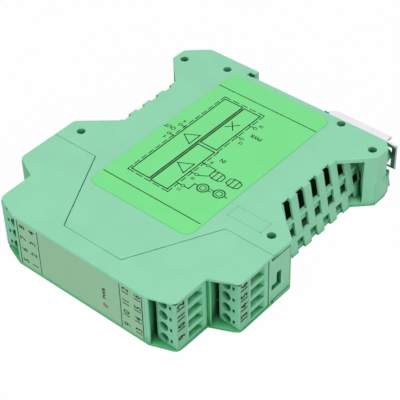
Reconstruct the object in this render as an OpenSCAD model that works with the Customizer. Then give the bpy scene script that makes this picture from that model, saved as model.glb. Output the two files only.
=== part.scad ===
// Signal isolator in a 22.5 mm rail housing, lying on its side.
// X runs across the terminals, -Y is the front face, +Y the rail side, Z the thickness.
// The origin is on the mirror plane, half way from front to rear, on the underside.

/* [Housing] */
// Overall width across the shoulders
body_w = 99; // [97:0.5:104]
// Overall depth from the front face to the back of the rail hook
body_d = 114.5; // [113:0.5:122]
// Overall thickness across the two side plates
body_t = 22.5; // [22.4:0.1:25]
// Wall and plate thickness of the rear shells
shell_wall = 1.8; // [1.4:0.1:2]
// Side plates of the front housing
front_skin = 1; // [0.8:0.1:1.1]
// Front wall of the front housing
front_wall = 1.6; // [1.4:0.1:2]
// Walls of the terminal chambers
chamber_wall = 1.4; // [1:0.1:1.6]
// Radius of the outer corners
corner_r = 2.4; // [1:0.1:3]
// Width of the line between neighbouring mouldings
seam_gap = 0.2; // [0.1:0.05:0.3]

/* [Outline] */
// Shoulder to the end of the flat front face
front_inset = 19.7; // [19.5:0.1:21.5]
// Shoulder to the side of the front terminal level
level_1_inset = 10.1; // [9.5:0.1:10.5]
// Front face to the faces of the front terminal plugs
level_1_setback = 3.55; // [3:0.05:5]
// Back of the front plugs to the inner corner between the two levels
step_reach = 0; // [-0.6:0.1:0.4]
// Inner corner between the two levels to the faces of the rear plugs
level_2_reach = 4.5; // [3.5:0.1:6]
// Back walls of the rear chambers to the seam of the front housing
seam_reach = 0.85; // [0.3:0.05:3]
// Front face to the tip of the tongues of the shells
tongue_setback = 7.3; // [6:0.1:12]
// Width of a tongue at its tip
tongue_tip_w = 25.4; // [20:0.2:30]
// Width of a tongue at the seam
tongue_root_w = 58.8; // [50:0.2:60]
// Headers of the rear plugs to the corner of the shoulders
shoulder_reach = 6.9; // [6.5:0.1:9.5]
// Slope of the shoulders
shoulder_angle = 40; // [35:1:45]
// Shoulder to the side of the lobes at the rail side
lobe_inset = 2; // [1:0.25:3]
// Rear to the front corner of a lobe
lobe_corner = 13.4; // [12.5:0.1:14]
// Rear to the back corner of a lobe
lobe_back = 7.2; // [6.5:0.1:8]
// Shoulder to the side of the pockets between the vent walls and the lobes
pocket_inset = 5.4; // [5.2:0.05:6.2]
// Rear to the back of the pockets
pocket_setback = 10; // [9.6:0.1:10.6]

/* [Vents] */
// Shoulder to a vent wall at the top plate
vent_top_inset = 12.65; // [12:0.05:13.5]
// Shoulder to a vent wall at the bottom plate
vent_bottom_inset = 8.1; // [7.5:0.05:9.5]
// Slots in each vent wall
vent_count = 6; // [3:1:6]
// Spacing of the slots
vent_pitch = 7.43; // [7:0.01:7.5]
// Width of a slot
vent_slot = 3.75; // [2.5:0.05:4.2]
// Shoulder corner to the first slot
vent_start = 11.6; // [11.5:0.1:12.5]
// Height of the slots below the top plate
vent_upper_h = 7.1; // [5:0.1:8]
// Height of the rail across the slots
vent_rail_h = 1; // [0.6:0.1:1.5]
// Height of the slots under the rail
vent_lower_h = 7.2; // [4:0.1:8]
// Height of the notches in the bottom edge
vent_notch_h = 5; // [4.4:0.1:5.4]
// Depth of the notches in the plate edges
vent_notch_d = 1; // [0.6:0.1:1.2]
// Thickness of the vent walls
vent_wall = 0.8; // [0.6:0.1:1.2]
// Plate left above the slots
vent_skin = 0.8; // [0.6:0.1:1.2]
// How far the lip inside the vent walls reaches below the parting plane
lip_drop = 1; // [0.6:0.1:1.4]

/* [Shell pins] */
// Bore of the six pin holes
pin_bore = 3.2; // [2.6:0.1:3.6]
// Running clearance of a pin in its bore
pin_clear = 0.05; // [0.03:0.01:0.1]
// Wall round a pin hole
boss_wall = 1.6; // [1.2:0.1:1.8]
// How far a pin stands above the parting plane
pin_rise = 5.5; // [3:0.5:8]
// Shoulder to the pins beside the shoulders
shoulder_pin_inset = 6.3; // [6:0.1:7.5]
// Shoulder corner to the shoulder pins, forwards
shoulder_pin_back = 2.9; // [2.6:0.1:3.5]
// Side of a lobe to its pin
lobe_pin_inset = 4.05; // [3.75:0.05:5]
// Rear to the lobe pins
lobe_pin_back = 11.4; // [11:0.1:11.8]
// Side of a lobe to the pin at the rail seat
seat_pin_inset = 21.1; // [21:0.1:22]
// Rear to the pins at the rail seat
seat_pin_back = 6.3; // [6.2:0.1:6.8]

/* [Rail foot] */
// Width of the mounting rail
rail_w = 35; // [34.6:0.1:35.4]
// Rear face of the hook to the rail seat
hook_depth = 3.95; // [3.8:0.05:4.4]
// How far the hook reaches behind the rail
hook_overlap = 1.3; // [1:0.1:1.8]
// Play of the rail edge in the hook
hook_play = 1.1; // [0.6:0.1:1.4]
// Groove behind the hook for the rail edge
rail_groove = 1.7; // [1.4:0.1:2]
// Side of a lobe to the end of the hook block
hook_inset = 8; // [7.3:0.1:11.3]
// How far the catch reaches behind the rail
catch_overlap = 1.1; // [0.8:0.1:1.6]
// Release travel of the catch
catch_travel = 3; // [2:0.1:3.2]
// Sheet thickness of the catch
catch_sheet = 1; // [0.8:0.1:1.2]
// Height of the catch
catch_h = 11.2; // [10.6:0.1:11.4]
// Top of the catch below the top plate
catch_drop = 1; // [0.8:0.1:1.6]
// Clearance round the catch
catch_clear = 0.3; // [0.2:0.05:0.4]
// Loop at the end of the catch, along the travel
loop_w = 4.4; // [4:0.1:5]
// Strip round the loop
loop_strip = 1.6; // [1.2:0.1:1.8]
// Side of a lobe to the end of the flanges of the catch
flange_inset = 3.7; // [3.3:0.1:4.6]
// Wire of the catch spring
spring_wire = 0.4; // [0.3:0.05:0.5]
// Mean diameter of the catch spring
spring_d = 3.2; // [3:0.1:3.6]
// Length of the catch spring at rest
spring_len = 4.8; // [4.6:0.1:5]
// Turns of the catch spring
spring_turns = 3; // [3:1:4]

/* [Terminal plugs] */
// Spacing of the poles
pole_pitch = 5.08; // [5:0.01:5.1]
// Width of a plug body across its poles' screws
plug_w = 8.6; // [8.4:0.1:9]
// Depth of a plug body along its plug-in direction
plug_d = 14.55; // [14.3:0.05:14.8]
// Clearance round a plug
plug_clear = 0.2; // [0.1:0.05:0.25]
// Gap between a plug and the wall beside it
plug_gap = 2.3; // [1.8:0.1:2.6]
// Inner face of a plug to the screw axis
screw_inset = 3; // [2.8:0.1:3.2]
// Hole over a clamp screw
screw_hole_d = 3.7; // [3.6:0.05:3.8]
// Head of a clamp screw
screw_head_d = 3.4; // [3.2:0.05:3.5]
// Shank of a clamp screw
screw_d = 2.4; // [2:0.1:2.6]
// Wire opening along the plug
funnel_d = 5.9; // [5:0.1:6]
// Wire opening across the plug
funnel_h = 2.6; // [2.2:0.1:2.8]
// Front face of a plug to its wire openings
funnel_setback = 5.5; // [5.2:0.1:5.7]
// Width of the marker strip on a plug
marker_w = 4.2; // [3.6:0.1:4.4]
// Thickness of a marker strip
marker_t = 0.3; // [0.2:0.05:0.4]
// Side of a contact pin
pin_side = 1; // [0.8:0.05:1]

/* [Labels] */
// End of the front face to the marking plate
front_plate_inset = 1.4; // [1.3:0.1:4.8]
// Height of the marking plate
front_plate_h = 19.2; // [17:0.1:20]
// Thickness of the marking plate
front_plate_t = 0.6; // [0.4:0.1:0.8]
// Width of the side label
label_w = 45.2; // [40:0.2:46]
// Length of the side label
label_d = 79; // [70:0.5:80]
// Front face to the side label
label_setback = 28.6; // [28.4:0.1:30]
// Corner radius of the side label
label_r = 3.4; // [1:0.1:5]
// Thickness of the side label
label_t = 0.15; // [0.1:0.05:0.2]

/* [Circuit] */
// Thickness of the circuit board
board_t = 1.6; // [1:0.1:1.7]
// Underside of the board above the underside of the housing
board_z = 5.4; // [5.2:0.1:5.6]
// Gap between the board and the chambers of the front plugs
board_gap = 0.9; // [0.6:0.1:2]
// Shoulder to the rear part of the board
board_rear_inset = 13.5; // [13:0.1:14]
// Light of the power lamp
lamp_d = 2; // [1.6:0.1:2.4]
// Power lamp to the mirror plane
lamp_x = 11.4; // [8:0.2:14]
// Body diameter of the filter capacitors
capacitor_d = 8; // [6:0.5:9]
// Height of the filter capacitors
capacitor_h = 11.5; // [9:0.5:12]

/* [Hidden] */

$fn = 40;
eps = 0.01;
clear = 0.1;
arc_steps = 6;
header_d = 3.6;

// Places along the depth
y_front = -body_d / 2;
y_rear = body_d / 2;
y_seat = y_rear - hook_depth;
y_face_1 = y_front + level_1_setback;
y_step = y_face_1 + plug_d + step_reach;
y_face_2 = y_step + level_2_reach;
y_chamber = y_face_2 + plug_d + plug_clear + chamber_wall;
y_seam = y_chamber + seam_reach;
y_tongue = y_front + tongue_setback;
y_shoulder = y_chamber + clear + header_d + shoulder_reach;
y_lobe = y_rear - lobe_corner;
y_lobe_back = y_rear - lobe_back;
y_vent = y_shoulder + vent_start;
y_pocket = y_rear - pocket_setback;

// Places across the width
half_w = body_w / 2;
front_w = body_w - 2 * front_inset;
front_plate_w = front_w - 2 * front_plate_inset;
level_1_w = body_w - 2 * level_1_inset;
vent_top = half_w - vent_top_inset;
vent_bottom = half_w - vent_bottom_inset;
vent_slope = (vent_bottom - vent_top) / body_t;
vent_wall_x = vent_wall * sqrt(1 + vent_slope * vent_slope);
vent_in = vent_top - 3 * shell_wall;
vent_out = vent_bottom + 1;
vent_reach = 2.5;
pocket_x = half_w - pocket_inset;
lobe_x = half_w - lobe_inset;
seat_x = lobe_x - (y_seat - y_lobe_back);

// Places in the thickness
parting = body_t / 2;
z_plate = body_t - shell_wall;

// Rail foot
hook_x = -rail_w / 2 + hook_overlap;
rail_relief = 0.3;
catch_tip = rail_w / 2 - catch_overlap;
catch_y = y_seat + catch_clear;
catch_top = body_t - catch_drop;
catch_z = catch_top - catch_h;
catch_mid = catch_z + catch_h / 2;
catch_root = rail_w / 2 + catch_overlap;
flange_end = lobe_x - flange_inset;
catch_end = flange_end + loop_w;
catch_bend = 0.4;
catch_bed = 0.2;
guide_reach = 1.9;
guide_slope = 0.48;
round_d = 5.8;
round_inset = 3.2;
nose_slope = 4.2;
lug_h = 3.8;
lug_in = 5.9;
seat_pin_x = lobe_x - seat_pin_inset;
lug_x = seat_pin_x + pin_bore / 2 + boss_wall + catch_clear;
spring_y = y_seat - shell_wall - spring_d / 2 - spring_wire / 2 - clear;
spring_x = lug_x + catch_sheet + clear;
rest_x = spring_x + spring_len + clear;
rest_t = 1.6;
rest_d = 6;

// Terminal plugs: inner face of each level, height and pole places
poles = 4;
level_2_x = half_w - plug_clear - plug_w;
level_1_x = level_1_w / 2 - plug_w;
plug_h = poles * pole_pitch - plug_clear;
plug_z = (body_t - plug_h) / 2;
function pole_z(i) = body_t / 2 + (i - (poles - 1) / 2) * pole_pitch;
cage_front = 4.9;
cage_d = 5.3;
cage_w = 5.2;
cage_h = 3.5;
cage_sheet = 1.15;
cage_u = 1;
chamber_side = 0.15;
socket_d = 3.2;
socket_leaf = 0.5;
socket_gap = 0.1;
socket_h = 1.8;
socket_front = cage_front + cage_d + clear;
header_w = 4.8;
tail_w = 0.6;
tail_start = 0.5;
tail_pitch = 0.85;
leg_inset = 1.4;
rib_t = 1;
marker_setback = 0.25;
test_w = 0.9;
test_h = 1.4;
test_inset = 2.1;
head_setback = 3.2;
head_h = 1.6;
shank_h = 3.6;
driver_slot = 0.6;
driver_depth = 0.7;

// Latch arms of the front housing
arm_t = 1.5;
arm_end = y_shoulder - 0.9;
arm_margin = 2.3;
window_d = 5;
window_z = 6.9;
window_h = 6.4;
nose_d = 2.8;
nose_h = 4.3;
front_edge = 0.6;

// Circuit
board_top = board_z + board_t;
board_front_w = 2 * (level_1_x - plug_gap - chamber_wall - board_gap);
board_rear_w = body_w - 2 * board_rear_inset;
board_setback = 5.75;
board_seat = 7.3;
board_seam = 0.5;
board_front = y_front + board_setback;
board_rear = y_seat - board_seat;
board_step = y_seam + board_seam;
board_mid = (board_step + board_rear) / 2;
post_d = 5;
post_inset = 4;
post_places = [board_step + post_inset, board_mid, board_rear - post_inset];
tongue_posts = [y_tongue + post_inset, (y_tongue + y_seam) / 2];
lamp_z = board_z + board_t / 2;
lamp_set = 0.2;
lamp_len = 4;
lamp_base = 1.2;
lamp_flange = 0.4;
lamp_legs = 3;
can_x = 21;
can_pitch = 10.5;
can_back = board_rear - 13;
can_places = [[-can_x, can_back], [-can_x, can_back - can_pitch], [can_x, can_back]];
can_edge = 0.4;
can_groove = 1.5;
chip_x = 20;
chip_back = board_mid - 6.4;
chip_gap = 16;
chip_places = [for (x = [chip_x, -chip_x], y = [chip_back, chip_back - chip_gap]) [x, y]];
chip = [6.4, 9.5, 3.4];
chip_lift = 0.5;
chip_leg = [0.4, 0.8, 2.4];
chip_pitch = 2.54;

function unit(v) = v / norm(v);
function turned(v, a) = [v[0] * cos(a) - v[1] * sin(a), v[0] * sin(a) + v[1] * cos(a)];
function place(c) = [c[0], c[1]];

// Points of an arc of radius r at corner b between its neighbours a and c
function corner_arc(a, b, c, r) =
    let (u = unit(a - b), w = unit(c - b), half = acos(u * w) / 2)
    let (centre = b + unit(u + w) * r / sin(half), from = b + u * r / tan(half) - centre)
    let (to = b + w * r / tan(half) - centre, sweep = atan2(cross(from, to), from * to))
    [for (k = [0:arc_steps]) centre + turned(from, sweep * k / arc_steps)];

// Outline from corners [x, y, radius], with a sharp corner where the radius is zero
function rounded(path) =
    let (n = len(path))
    [for (i = [0:n - 1], p = path[i][2] > 0
        ? corner_arc(place(path[(i + n - 1) % n]), place(path[i]), place(path[(i + 1) % n]), path[i][2])
        : [place(path[i])]) p];

// The same corners moved inwards by a wall, for an outline that runs anticlockwise
function inset(path, wall) =
    let (n = len(path))
    [for (i = [0:n - 1])
        let (b = place(path[i]))
        let (d1 = unit(b - place(path[(i + n - 1) % n])), d2 = unit(place(path[(i + 1) % n]) - b))
        let (n1 = [-d1[1], d1[0]], n2 = [-d2[1], d2[0]], p = b + (n1 + n2) * wall / (1 + n1 * n2))
        [p[0], p[1], cross(d1, d2) > 0 ? max(path[i][2] - wall, 0) : path[i][2] + wall]];

// Outline of the shoulders, from the line front to the vent walls
function shoulder_path(front) =
    let (inner = vent_top - vent_wall_x, back = y_shoulder + (half_w - inner) * tan(shoulder_angle))
    [[-half_w, front, 0], [half_w, front, 0], [half_w, y_shoulder, corner_r], [inner, back, 0],
     [-inner, back, 0], [-half_w, y_shoulder, corner_r]];

// Outline of the two lobes, without the hook
lobe_inner = vent_top - vent_wall_x;
lobe_path = [
    [-lobe_inner, y_lobe - (lobe_x - lobe_inner), 0], [lobe_inner, y_lobe - (lobe_x - lobe_inner), 0],
    [lobe_x, y_lobe, corner_r], [lobe_x, y_lobe_back, corner_r], [seat_x, y_seat, corner_r / 2],
    [-seat_x, y_seat, corner_r / 2], [-lobe_x, y_lobe_back, corner_r], [-lobe_x, y_lobe, corner_r]];

// Outline of the block that stands behind the seat, from x0 to x1 and out to the lobe corner
function block_path(x0, x1) = [
    [x0, y_seat - shell_wall, 0], [lobe_x, y_lobe, 0], [lobe_x, y_lobe_back, corner_r],
    [x1, y_rear, corner_r], [x0, y_rear, 0]];

// Corner points of the tongue, grown by a gap
function tongue_points(grow) = [
    [-tongue_root_w / 2 - grow, y_seam + shell_wall], [-tongue_root_w / 2 - grow, y_seam - grow],
    [-tongue_tip_w / 2 - grow, y_tongue - grow], [tongue_tip_w / 2 + grow, y_tongue - grow],
    [tongue_root_w / 2 + grow, y_seam - grow], [tongue_root_w / 2 + grow, y_seam + shell_wall]];

// Places of the six shell pins
pin_places = [for (s = [-1, 1]) each [
    [s * (half_w - shoulder_pin_inset), y_shoulder - shoulder_pin_back],
    [s * (lobe_x - lobe_pin_inset), y_rear - lobe_pin_back],
    [s * seat_pin_x, y_rear - seat_pin_back]]];

// A box from its lowest to its highest corner
module box(low, high) translate(low) cube(high - low);

// Both sides of the mirror plane
module both() {
    children();
    mirror([1, 0, 0]) children();
}

// Wedge between the two vent walls, with its sides moved in
module vent_wedge(move_in) {
    wide = vent_bottom - move_in;
    narrow = vent_top - move_in;
    end = y_pocket + shell_wall;
    translate([0, end, 0]) rotate([90, 0, 0]) linear_extrude(end - y_shoulder - 1)
        polygon([[-wide, 0], [wide, 0], [narrow, body_t], [-narrow, body_t]]);
}

// Box round the pocket beside the lobe on the +X side, grown by a wall
module pocket_box(grow)
    box([lobe_inner, y_shoulder, shell_wall - grow], [pocket_x + grow, y_pocket + grow, z_plate + grow]);

// Space inside the two shells
module shell_space() intersection() {
    union() {
        linear_extrude(body_t) polygon(rounded(inset(shoulder_path(y_front), shell_wall)));
        vent_wedge(vent_wall_x);
        difference() {
            linear_extrude(body_t) polygon(rounded(inset(lobe_path, shell_wall)));
            both() pocket_box(shell_wall);
        }
    }
    box([-body_w, -body_d, shell_wall], [body_w, body_d, z_plate]);
}

// Slots, rail and notches cut into the vent wall on the +X side
module vent_cuts() {
    upper = body_t - vent_upper_h;
    lower = upper - vent_rail_h;
    for (k = [0:vent_count - 1]) {
        y = y_vent + k * vent_pitch;
        box([vent_in, y, upper], [vent_out, y + vent_slot, z_plate]);
        box([vent_top - vent_reach, y, z_plate - eps], [vent_out, y + vent_slot, body_t - vent_skin]);
        box([vent_top - vent_notch_d, y, z_plate - eps], [vent_out, y + vent_slot, body_t + 1]);
        box([vent_in, y, lower - vent_lower_h], [vent_out, y + vent_slot, lower]);
        box([vent_bottom - vent_notch_d, y - vent_pitch + vent_slot, -1], [vent_out, y, vent_notch_h]);
        box([vent_in, y - vent_pitch + vent_slot, shell_wall], [vent_out, y, vent_notch_h]);
    }
}

// The lobe on the +X side, which the last slots run into and must not cut
module lobe_guard() {
    guard = inset(lobe_path, -eps);
    linear_extrude(body_t + 2) polygon(rounded(guard));
}

// Outer form of both shells together, closed at the parting plane
module shell_body() {
    difference() {
        union() {
            linear_extrude(body_t) polygon(rounded(shoulder_path(y_seam)));
            vent_wedge(0);
            linear_extrude(body_t) polygon(rounded(lobe_path));
            linear_extrude(body_t) mirror([1, 0, 0])
                polygon(rounded(block_path(-hook_x, lobe_x - hook_inset)));
        }
        shell_space();
        box([-body_w, y_front, shell_wall], [body_w, arm_end + seam_gap, z_plate]);
        both() difference() {
            pocket_box(0);
            vent_wedge(0);
            linear_extrude(body_t) polygon(rounded(shoulder_path(y_seam)));
        }
        both() difference() {
            vent_cuts();
            translate([0, 0, z_plate]) lobe_guard();
            translate([0, 0, -body_t - 2 + shell_wall]) lobe_guard();
        }
        box([hook_x - hook_overlap - hook_play, y_seat - rail_relief, -1],
            [hook_x + rail_relief, y_seat + rail_groove, body_t + 1]);
        box([catch_tip - catch_clear, y_seat - catch_bed, catch_z - catch_clear],
            [body_w, y_rear, body_t + 1]);
    }
    for (z = [0, z_plate]) translate([0, 0, z]) linear_extrude(shell_wall) polygon(tongue_points(0));
}

// Lip of the upper shell behind the lower slots, which laps the wall of the lower shell
module vent_lip() {
    low = y_vent - lip_drop;
    high = y_vent + (vent_count - 1) * vent_pitch + vent_slot + lip_drop;
    upper = body_t - vent_upper_h;
    for (s = [[parting - eps, upper, -eps], [parting - lip_drop, parting, clear]]) intersection() {
        difference() {
            vent_wedge(vent_wall_x + s[2]);
            vent_wedge(2 * vent_wall_x);
        }
        box([-body_w, low, s[0]], [body_w, high, s[1]]);
    }
}

// Bosses of the pin holes, from z0 to z1, which end inside the wall of the rail seat
module bosses(z0, z1) intersection() {
    for (p = pin_places) translate([p[0], p[1], z0]) cylinder(d = pin_bore + 2 * boss_wall, h = z1 - z0);
    box([-body_w, y_front, z0], [body_w, y_seat - shell_wall / 2, z1]);
}

// Rest for the spring of the catch, with a guide stud inside the coil
module spring_rest() {
    box([rest_x, y_seat - rest_d, parting], [rest_x + rest_t, y_seat - shell_wall / 2, z_plate + eps]);
    translate([rest_x + eps, spring_y, catch_mid]) rotate([0, -90, 0])
        cylinder(d = spring_d - 2 * spring_wire - 2 * clear, h = spring_len / 3);
}

// Round rest under the end of the catch
module catch_rest() difference() {
    translate([lobe_x - round_inset, y_lobe_back - 1, catch_top - loop_strip - round_d / 2 + clear])
        rotate([-90, 0, 0]) cylinder(d = round_d, h = y_seat - catch_bed - y_lobe_back + 1);
    shell_space();
}

// Upper half shell with the six pin holes
module side_shell_top() color("mediumaquamarine") difference() {
    union() {
        intersection() {
            shell_body();
            box([-body_w, -body_d, parting], [body_w, body_d, body_t]);
        }
        bosses(parting, z_plate + eps);
        vent_lip();
        spring_rest();
        catch_rest();
    }
    for (p = pin_places) translate([p[0], p[1], parting - 1]) cylinder(d = pin_bore, h = body_t);
    box([lug_x - catch_clear, y_seat - shell_wall - 1, catch_mid - lug_h / 2 - catch_clear],
        [lug_x + catch_sheet + catch_travel + catch_clear, y_seat + 1, catch_mid + lug_h / 2 + catch_clear]);
}

// Lower half shell with pins, board rests, snap noses and the guide block under the catch
module side_shell_bottom() color("mediumaquamarine") {
    nose_y = y_chamber + clear;
    guide_h = catch_z - catch_clear;
    slant_h = guide_h + 1;
    intersection() {
        shell_body();
        box([-body_w, -body_d, 0], [body_w, body_d, parting]);
    }
    bosses(shell_wall - eps, parting);
    for (p = pin_places) translate([p[0], p[1], parting - eps])
        cylinder(d = pin_bore - 2 * pin_clear, h = pin_rise);
    difference() {
        linear_extrude(guide_h) polygon(rounded(block_path(catch_root + catch_clear, lobe_x - guide_reach)));
        translate([lobe_x - guide_reach, y_rear + 1, 0]) rotate([90, 0, 0])
            linear_extrude(y_rear - y_seat + 1)
                polygon([[0, 0], [body_t, 0], [body_t, slant_h], [-guide_slope * slant_h, slant_h]]);
        shell_space();
    }
    both() for (y = post_places) translate([board_rear_w / 2 - post_inset, y, shell_wall - eps])
        cylinder(d = post_d, h = board_z - shell_wall + eps);
    for (y = tongue_posts) translate([0, y, shell_wall - eps])
        cylinder(d = post_d, h = board_z - shell_wall + eps);
    both() {
        inner = half_w - arm_t - clear;
        box([inner - arm_t, nose_y, shell_wall - eps], [inner, nose_y + nose_d, window_z + window_h - clear]);
        box([inner - eps, nose_y, window_z + window_h - clear - nose_h],
            [half_w - plug_clear, nose_y + nose_d, window_z + window_h - clear]);
    }
}

// Corners of the side plates of the front housing
front_path = [
    [-front_w / 2, y_front, corner_r / 4], [front_w / 2, y_front, corner_r / 4],
    [level_1_w / 2, y_face_1, corner_r], [level_1_w / 2 + plug_clear, y_step, corner_r / 4],
    [half_w, y_face_2, corner_r], [half_w, y_seam - seam_gap, 0], [-half_w, y_seam - seam_gap, 0],
    [-half_w, y_face_2, corner_r], [-level_1_w / 2 - plug_clear, y_step, corner_r / 4],
    [-level_1_w / 2, y_face_1, corner_r]];

// Chamber of one plug on the +X side: inner wall, back wall and the guide ribs beside the plug
module chamber(inner_x, face_y, front_y, outer_x) {
    wall_x = inner_x - plug_gap;
    back_y = face_y + plug_d + plug_clear;
    box([wall_x - chamber_wall, front_y, eps], [wall_x, back_y + chamber_wall, body_t - eps]);
    box([wall_x - chamber_wall, back_y, eps], [outer_x, back_y + chamber_wall, body_t - eps]);
    for (z = [body_t / 3, body_t - front_skin - rib_t])
        box([wall_x - eps, face_y + rib_t, z], [inner_x - plug_clear, back_y + eps, z + rib_t]);
}

// Arm beside a rear plug, with the window that the snap nose of the shell holds
module latch_arm() {
    start = y_face_2 + plug_d + 2 * plug_clear;
    window_y = y_chamber - eps;
    difference() {
        box([half_w - arm_t, start, arm_margin], [half_w, arm_end, body_t - arm_margin]);
        box([0, window_y, window_z], [body_w, window_y + window_d, window_z + window_h]);
    }
}

// Front housing: two side plates, front wall, four plug chambers and two latch arms
module front_housing() color("mediumaquamarine") difference() {
    union() {
        for (z = [0, body_t - front_skin]) translate([0, 0, z]) difference() {
            linear_extrude(front_skin) polygon(rounded(front_path));
            translate([0, 0, -1]) linear_extrude(front_skin + 2) polygon(tongue_points(seam_gap));
        }
        box([-front_w / 2 + front_edge, y_front, eps],
            [front_w / 2 - front_edge, y_front + front_wall, body_t - eps]);
        both() {
            chamber(level_1_x, y_face_1, y_front + eps, level_1_w / 2 + plug_clear);
            chamber(level_2_x, y_face_2, y_face_1 + plug_d + plug_clear, half_w);
            latch_arm();
        }
    }
    box([-front_plate_w / 2 - clear, y_front - 1, (body_t - front_plate_h) / 2 - clear],
        [front_plate_w / 2 + clear, y_front + front_plate_t, (body_t + front_plate_h) / 2 + clear]);
    lamp_hole();
    both() for (i = [0:poles - 1], at = [[level_1_x, y_face_1], [level_2_x, y_face_2]])
        pin_hole(at[0] + screw_inset, at[1] + plug_d, pole_z(i), 2 * chamber_wall);
}

// Hole for the power lamp through the marking plate and the front wall
module lamp_hole() translate([lamp_x, y_front - 1, lamp_z]) rotate([-90, 0, 0])
    cylinder(d = lamp_d + 2 * clear, h = front_wall + 2);

// Square hole for a contact pin, from y on
module pin_hole(x, y, z, depth) {
    side = pin_side + 2 * plug_clear;
    box([x - side / 2, y - eps, z - side / 2], [x + side / 2, y + depth, z + side / 2]);
}

// Marking plate in the recess of the front wall
module front_plate() color("darkseagreen") difference() {
    box([-front_plate_w / 2, y_front, (body_t - front_plate_h) / 2],
        [front_plate_w / 2, y_front + front_plate_t, (body_t + front_plate_h) / 2]);
    lamp_hole();
}

// Label on the upper shell and its tongue
module side_label() color("lightgreen") translate([0, y_front + label_setback, body_t])
    linear_extrude(label_t) polygon(rounded([
        [-label_w / 2, 0, label_r], [label_w / 2, 0, label_r], [label_w / 2, label_d, label_r],
        [-label_w / 2, label_d, label_r]]));

// Sheet metal catch: a channel with slanted noses, a loop for a screwdriver and a lug for the spring
module foot_catch() color("silver") {
    y1 = catch_y + catch_sheet;
    low = catch_z + catch_sheet;
    high = catch_top - catch_sheet;
    nose_x = catch_tip + nose_slope;
    outer_bend = catch_bend + catch_sheet;
    difference() {
        translate([catch_tip, 0, 0]) rotate([90, 0, 90]) linear_extrude(catch_end - catch_tip)
            polygon(rounded([
                [y_rear, catch_z, 0], [y_rear, low, 0], [y1, low, catch_bend], [y1, high, catch_bend],
                [y_rear, high, 0], [y_rear, catch_top, 0], [catch_y, catch_top, outer_bend],
                [catch_y, catch_z, outer_bend]]));
        box([catch_tip - 1, y_front, 0], [catch_root, y1, body_t]);
        translate([0, 0, -1]) linear_extrude(body_t + 2) polygon([
            [catch_tip - 1, y1], [catch_tip, y1], [nose_x, y_rear], [nose_x, y_rear + 1],
            [catch_tip - 1, y_rear + 1]]);
        box([flange_end, y1, 0], [catch_end + 1, y_rear + 1, body_t]);
        box([flange_end - catch_bend, y_front, catch_z + loop_strip],
            [catch_end - loop_strip, y_rear, catch_top - loop_strip]);
    }
    box([lug_x, y_seat - lug_in, catch_mid - lug_h / 2],
        [lug_x + catch_sheet, catch_y + eps, catch_mid + lug_h / 2]);
}

// Rings of points along the coil of the catch spring
spring_sides = 8;
spring_steps = 16;
spring_rings = spring_turns * spring_steps;
spring_pitch = (spring_len - spring_wire) / spring_turns;
function spring_ring(k) =
    let (a = 360 * k / spring_steps, x = spring_x + spring_wire / 2 + spring_pitch * k / spring_steps)
    [for (j = [0:spring_sides - 1])
        let (b = 360 * j / spring_sides, r = spring_d / 2 + spring_wire / 2 * cos(b))
        [x + spring_wire / 2 * sin(b), spring_y + r * cos(a), catch_mid + r * sin(a)]];
function spring_side(k, j) =
    let (next = (j + 1) % spring_sides, low = k * spring_sides, high = low + spring_sides)
    [low + j, high + j, high + next, low + next];

// Compression spring between the lug of the catch and the rest in the upper shell
module catch_spring() color("lightgray") polyhedron(
    points = [for (k = [0:spring_rings]) each spring_ring(k)],
    faces = concat(
        [[for (j = [0:spring_sides - 1]) j]],
        [for (k = [0:spring_rings - 1], j = [0:spring_sides - 1]) spring_side(k, j)],
        [[for (j = [spring_sides - 1:-1:0]) spring_rings * spring_sides + j]]));

// Circuit board: a narrow part between the plug chambers and a wide part behind them
module main_board() color("darkgreen") translate([0, 0, board_z]) linear_extrude(board_t)
    polygon(rounded([
        [-board_front_w / 2, board_front, 1], [board_front_w / 2, board_front, 1],
        [board_front_w / 2, board_step, 0], [board_rear_w / 2, board_step, 1],
        [board_rear_w / 2, board_rear, 1], [-board_rear_w / 2, board_rear, 1],
        [-board_rear_w / 2, board_step, 1], [-board_front_w / 2, board_step, 0]]));

core_w = 17;
core_d = 6;
core_h = 12.4;
core_leg = 2.2;
core_y = board_mid - 1.4;
wind_d = 13;
wind_r = 2;

// Ferrite core of the isolating transformer, standing on the board
module transformer_core() color("dimgray") translate([-core_w / 2, core_y - core_d / 2, board_top]) {
    for (z = [0, core_h - core_leg]) translate([0, 0, z]) cube([core_w, core_d, core_leg]);
    for (x = [0, core_w - core_leg]) translate([x, 0, eps]) cube([core_leg, core_d, core_h - 2 * eps]);
    translate([core_w / 2 - core_leg, 0, eps]) cube([2 * core_leg, core_d, core_h - 2 * eps]);
}

// Winding round the middle leg of the core
module transformer_winding() color("goldenrod") {
    wind_w = core_w - 2 * core_leg - 2 * clear;
    translate([0, core_y, board_top + core_leg + clear]) difference() {
        linear_extrude(core_h - 2 * core_leg - 2 * clear) polygon(rounded([
            [-wind_w / 2, -wind_d / 2, wind_r], [wind_w / 2, -wind_d / 2, wind_r],
            [wind_w / 2, wind_d / 2, wind_r], [-wind_w / 2, wind_d / 2, wind_r]]));
        cube([2 * core_leg + 2 * clear, core_d + 2 * clear, 3 * core_h], center = true);
    }
}

// Can capacitors that stand on the board
module filter_capacitors() color("slategray") for (p = can_places) translate([p[0], p[1], board_top]) {
    r = capacitor_d / 2;
    inner = r - can_edge;
    top = capacitor_h - can_edge;
    rotate_extrude() polygon([
        [0, 0], [inner, 0], [r, can_edge], [r, can_groove - can_edge], [inner, can_groove],
        [r, can_groove + can_edge], [r, top], [inner, capacitor_h], [inner - can_edge, capacitor_h],
        [inner - can_edge, top], [0, top]]);
}

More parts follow.
